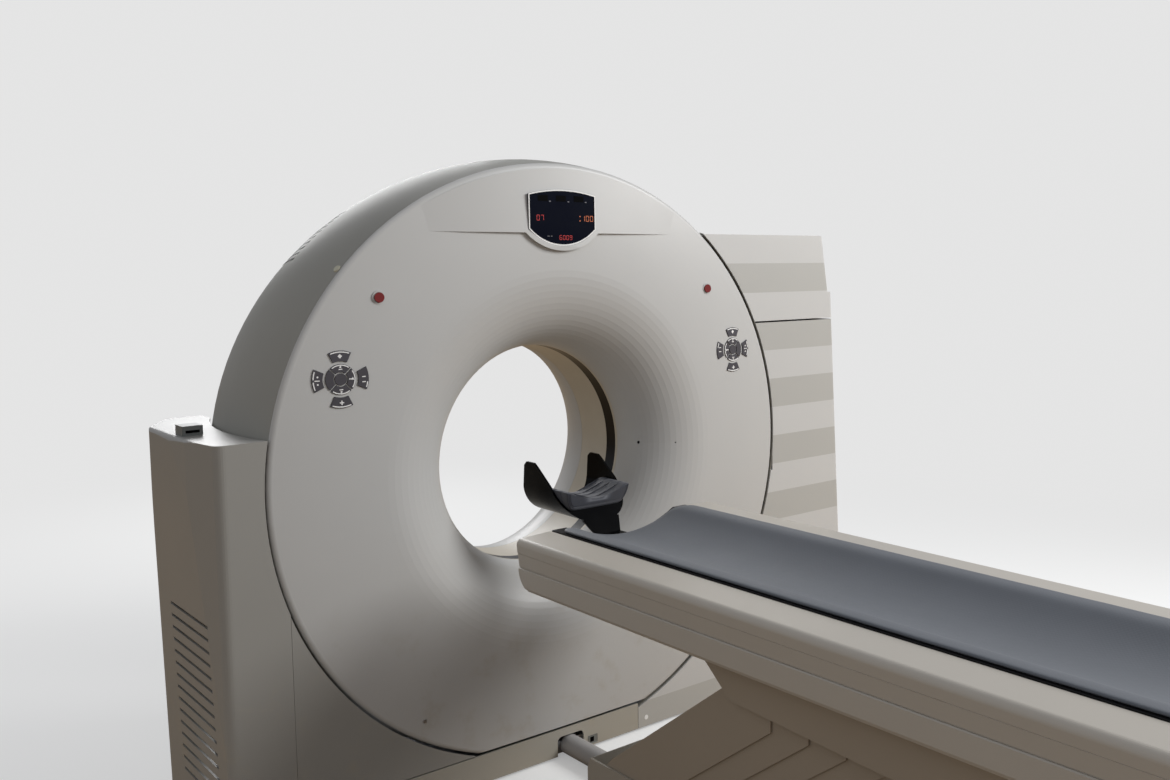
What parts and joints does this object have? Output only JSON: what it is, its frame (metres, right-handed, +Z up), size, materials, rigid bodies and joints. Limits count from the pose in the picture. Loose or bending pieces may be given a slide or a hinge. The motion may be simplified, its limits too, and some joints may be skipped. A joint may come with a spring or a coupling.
{
  "type": "ct scanner",
  "caption": "Whole-body CT scanner: tilting ring gantry with a flared bore between a low and a tall tower, a parallel-arm lifting patient table with sliding board and head holder.",
  "frame": {"origin": "centre of the floor pad under the middle of the gantry, below the crossing of the bore mid-plane and the scan plane", "axes": "+Z up, -Y from the gantry's front towards the patient table, +X towards the tall tower"},
  "size_m": [2.378, 3.14, 1.899],
  "materials": {
    "frame_steel": "matt powder coat",
    "foot_rubber": "matt",
    "motor_black": "matt",
    "cover_white": "satin lacquer on moulded covers",
    "conduit_grey": "satin",
    "pedestal_grey": "satin",
    "liner_beige": "satin",
    "window_black": "gloss",
    "bearing_steel": "ground",
    "tube_enamel": "satin",
    "generator_blue": "satin",
    "carbon_black": "gloss",
    "mattress_fabric": "matt coated fabric",
    "holder_black": "gloss",
    "pad_fabric": "matt coated fabric",
    "key_grey": "satin",
    "stop_red": "gloss"
  },
  "bodies": {
    "base": {"base_frame": "frame_steel", "levelling_feet": "foot_rubber", "left_stand": "frame_steel", "right_stand": "frame_steel", "tilt_motor": "motor_black", "base_skirts": "cover_white", "left_tower_cover": "cover_white", "right_tower_cover": "cover_white", "right_tower_head": "cover_white", "left_infill_cover": "cover_white", "right_infill_cover": "cover_white", "rear_panel": "cover_white", "cable_conduit": "conduit_grey", "table_foot": "pedestal_grey", "lift_motor": "motor_black"},
    "gantry": {"tilt_frame": "frame_steel", "front_cover": "cover_white", "rear_cover": "cover_white", "rim_cover": "cover_white", "bore_liner": "liner_beige", "scan_window": "window_black", "display_window": "window_black", "main_bearing": "bearing_steel"},
    "rotor": {"rotor_disc": "frame_steel", "tube_housing": "tube_enamel", "detector_arc": "motor_black", "generator": "generator_blue"},
    "main_arm": {"front_arm": "frame_steel", "front_arm_cover": "pedestal_grey"},
    "lamella_1": {"lamella_1": "pedestal_grey"},
    "lamella_2": {"lamella_2": "pedestal_grey"},
    "lamella_3": {"lamella_3": "pedestal_grey"},
    "lamella_4": {"lamella_4": "pedestal_grey"},
    "rear_arm": {"rear_arm": "pedestal_grey"},
    "carrier": {"carrier_frame": "pedestal_grey", "carrier_shell": "cover_white"},
    "cradle": {"patient_board": "carbon_black", "mattress": "mattress_fabric", "head_holder": "holder_black", "head_pad": "pad_fabric"},
    "left_key_centre": {"left_key_centre": "key_grey"},
    "left_key_ring_1": {"left_key_ring_1": "key_grey"},
    "left_key_ring_2": {"left_key_ring_2": "key_grey"},
    "left_key_ring_3": {"left_key_ring_3": "key_grey"},
    "left_key_ring_4": {"left_key_ring_4": "key_grey"},
    "left_key_outer_1": {"left_key_outer_1": "key_grey"},
    "left_key_outer_2": {"left_key_outer_2": "key_grey"},
    "left_key_outer_3": {"left_key_outer_3": "key_grey"},
    "left_key_outer_4": {"left_key_outer_4": "key_grey"},
    "right_key_centre": {"right_key_centre": "key_grey"},
    "right_key_ring_1": {"right_key_ring_1": "key_grey"},
    "right_key_ring_2": {"right_key_ring_2": "key_grey"},
    "right_key_ring_3": {"right_key_ring_3": "key_grey"},
    "right_key_ring_4": {"right_key_ring_4": "key_grey"},
    "right_key_outer_1": {"right_key_outer_1": "key_grey"},
    "right_key_outer_2": {"right_key_outer_2": "key_grey"},
    "right_key_outer_3": {"right_key_outer_3": "key_grey"},
    "right_key_outer_4": {"right_key_outer_4": "key_grey"},
    "left_stop_button": {"left_stop_button": "stop_red"},
    "right_stop_button": {"right_stop_button": "stop_red"}
  },
  "joints": [
    {"name": "gantry_tilt", "type": "hinge", "parent": "base", "child": "gantry", "pos_m": [0, 0, 0.959], "axis": [-1, 0, 0], "range_deg": [-30, 30]},
    {"name": "rotor_spin", "type": "hinge", "parent": "gantry", "child": "rotor", "pos_m": [0, 0.12, 0.959], "axis": [0, 1, 0], "continuous": true},
    {"name": "table_lift", "type": "hinge", "parent": "base", "child": "main_arm", "pos_m": [0, -0.825, 0.206], "axis": [-1, 0, 0], "range_deg": [-33, 4]},
    {"name": "carrier_level", "type": "hinge", "parent": "main_arm", "child": "carrier", "pos_m": [0, -1.36461, 0.59805], "axis": [-1, 0, 0], "range_deg": [-4, 33]},
    {"name": "rear_arm_swing", "type": "hinge", "parent": "base", "child": "rear_arm", "pos_m": [0, -1.41411, 0.206], "axis": [-1, 0, 0], "range_deg": [-33, 4]},
    {"name": "lamella_1_swing", "type": "hinge", "parent": "base", "child": "lamella_1", "pos_m": [0, -1.00611, 0.206], "axis": [-1, 0, 0], "range_deg": [-33, 4]},
    {"name": "lamella_2_swing", "type": "hinge", "parent": "base", "child": "lamella_2", "pos_m": [0, -1.10811, 0.206], "axis": [-1, 0, 0], "range_deg": [-33, 4]},
    {"name": "lamella_3_swing", "type": "hinge", "parent": "base", "child": "lamella_3", "pos_m": [0, -1.21011, 0.206], "axis": [-1, 0, 0], "range_deg": [-33, 4]},
    {"name": "lamella_4_swing", "type": "hinge", "parent": "base", "child": "lamella_4", "pos_m": [0, -1.31211, 0.206], "axis": [-1, 0, 0], "range_deg": [-33, 4]},
    {"name": "cradle_slide", "type": "slide", "parent": "carrier", "child": "cradle", "axis": [0, 1, 0], "range_m": [0, 1.3]},
    {"name": "left_key_centre_press", "type": "slide", "parent": "gantry", "child": "left_key_centre", "axis": [0, 1, 0], "range_m": [0, 0.002], "stiffness_N_per_m": 600, "springref_m": -0.001},
    {"name": "left_key_ring_1_press", "type": "slide", "parent": "gantry", "child": "left_key_ring_1", "axis": [0, 1, 0], "range_m": [0, 0.002], "stiffness_N_per_m": 600, "springref_m": -0.001},
    {"name": "left_key_ring_2_press", "type": "slide", "parent": "gantry", "child": "left_key_ring_2", "axis": [0, 1, 0], "range_m": [0, 0.002], "stiffness_N_per_m": 600, "springref_m": -0.001},
    {"name": "left_key_ring_3_press", "type": "slide", "parent": "gantry", "child": "left_key_ring_3", "axis": [0, 1, 0], "range_m": [0, 0.002], "stiffness_N_per_m": 600, "springref_m": -0.001},
    {"name": "left_key_ring_4_press", "type": "slide", "parent": "gantry", "child": "left_key_ring_4", "axis": [0, 1, 0], "range_m": [0, 0.002], "stiffness_N_per_m": 600, "springref_m": -0.001},
    {"name": "left_key_outer_1_press", "type": "slide", "parent": "gantry", "child": "left_key_outer_1", "axis": [0, 1, 0], "range_m": [0, 0.002], "stiffness_N_per_m": 600, "springref_m": -0.001},
    {"name": "left_key_outer_2_press", "type": "slide", "parent": "gantry", "child": "left_key_outer_2", "axis": [0, 1, 0], "range_m": [0, 0.002], "stiffness_N_per_m": 600, "springref_m": -0.001},
    {"name": "left_key_outer_3_press", "type": "slide", "parent": "gantry", "child": "left_key_outer_3", "axis": [0, 1, 0], "range_m": [0, 0.002], "stiffness_N_per_m": 600, "springref_m": -0.001},
    {"name": "left_key_outer_4_press", "type": "slide", "parent": "gantry", "child": "left_key_outer_4", "axis": [0, 1, 0], "range_m": [0, 0.002], "stiffness_N_per_m": 600, "springref_m": -0.001},
    {"name": "right_key_centre_press", "type": "slide", "parent": "gantry", "child": "right_key_centre", "axis": [0, 1, 0], "range_m": [0, 0.002], "stiffness_N_per_m": 600, "springref_m": -0.001},
    {"name": "right_key_ring_1_press", "type": "slide", "parent": "gantry", "child": "right_key_ring_1", "axis": [0, 1, 0], "range_m": [0, 0.002], "stiffness_N_per_m": 600, "springref_m": -0.001},
    {"name": "right_key_ring_2_press", "type": "slide", "parent": "gantry", "child": "right_key_ring_2", "axis": [0, 1, 0], "range_m": [0, 0.002], "stiffness_N_per_m": 600, "springref_m": -0.001},
    {"name": "right_key_ring_3_press", "type": "slide", "parent": "gantry", "child": "right_key_ring_3", "axis": [0, 1, 0], "range_m": [0, 0.002], "stiffness_N_per_m": 600, "springref_m": -0.001},
    {"name": "right_key_ring_4_press", "type": "slide", "parent": "gantry", "child": "right_key_ring_4", "axis": [0, 1, 0], "range_m": [0, 0.002], "stiffness_N_per_m": 600, "springref_m": -0.001},
    {"name": "right_key_outer_1_press", "type": "slide", "parent": "gantry", "child": "right_key_outer_1", "axis": [0, 1, 0], "range_m": [0, 0.002], "stiffness_N_per_m": 600, "springref_m": -0.001},
    {"name": "right_key_outer_2_press", "type": "slide", "parent": "gantry", "child": "right_key_outer_2", "axis": [0, 1, 0], "range_m": [0, 0.002], "stiffness_N_per_m": 600, "springref_m": -0.001},
    {"name": "right_key_outer_3_press", "type": "slide", "parent": "gantry", "child": "right_key_outer_3", "axis": [0, 1, 0], "range_m": [0, 0.002], "stiffness_N_per_m": 600, "springref_m": -0.001},
    {"name": "right_key_outer_4_press", "type": "slide", "parent": "gantry", "child": "right_key_outer_4", "axis": [0, 1, 0], "range_m": [0, 0.002], "stiffness_N_per_m": 600, "springref_m": -0.001},
    {"name": "left_stop_button_press", "type": "slide", "parent": "gantry", "child": "left_stop_button", "axis": [0, 1, 0], "range_m": [0, 0.004], "stiffness_N_per_m": 900, "springref_m": -0.002},
    {"name": "right_stop_button_press", "type": "slide", "parent": "gantry", "child": "right_stop_button", "axis": [0, 1, 0], "range_m": [0, 0.004], "stiffness_N_per_m": 900, "springref_m": -0.002}
  ],
  "couplings": [
    {"joint": "carrier_level", "follows": "table_lift", "ratio": -1},
    {"joint": "rear_arm_swing", "follows": "table_lift", "ratio": 1},
    {"joint": "lamella_1_swing", "follows": "table_lift", "ratio": 1},
    {"joint": "lamella_2_swing", "follows": "table_lift", "ratio": 1},
    {"joint": "lamella_3_swing", "follows": "table_lift", "ratio": 1},
    {"joint": "lamella_4_swing", "follows": "table_lift", "ratio": 1}
  ]
}
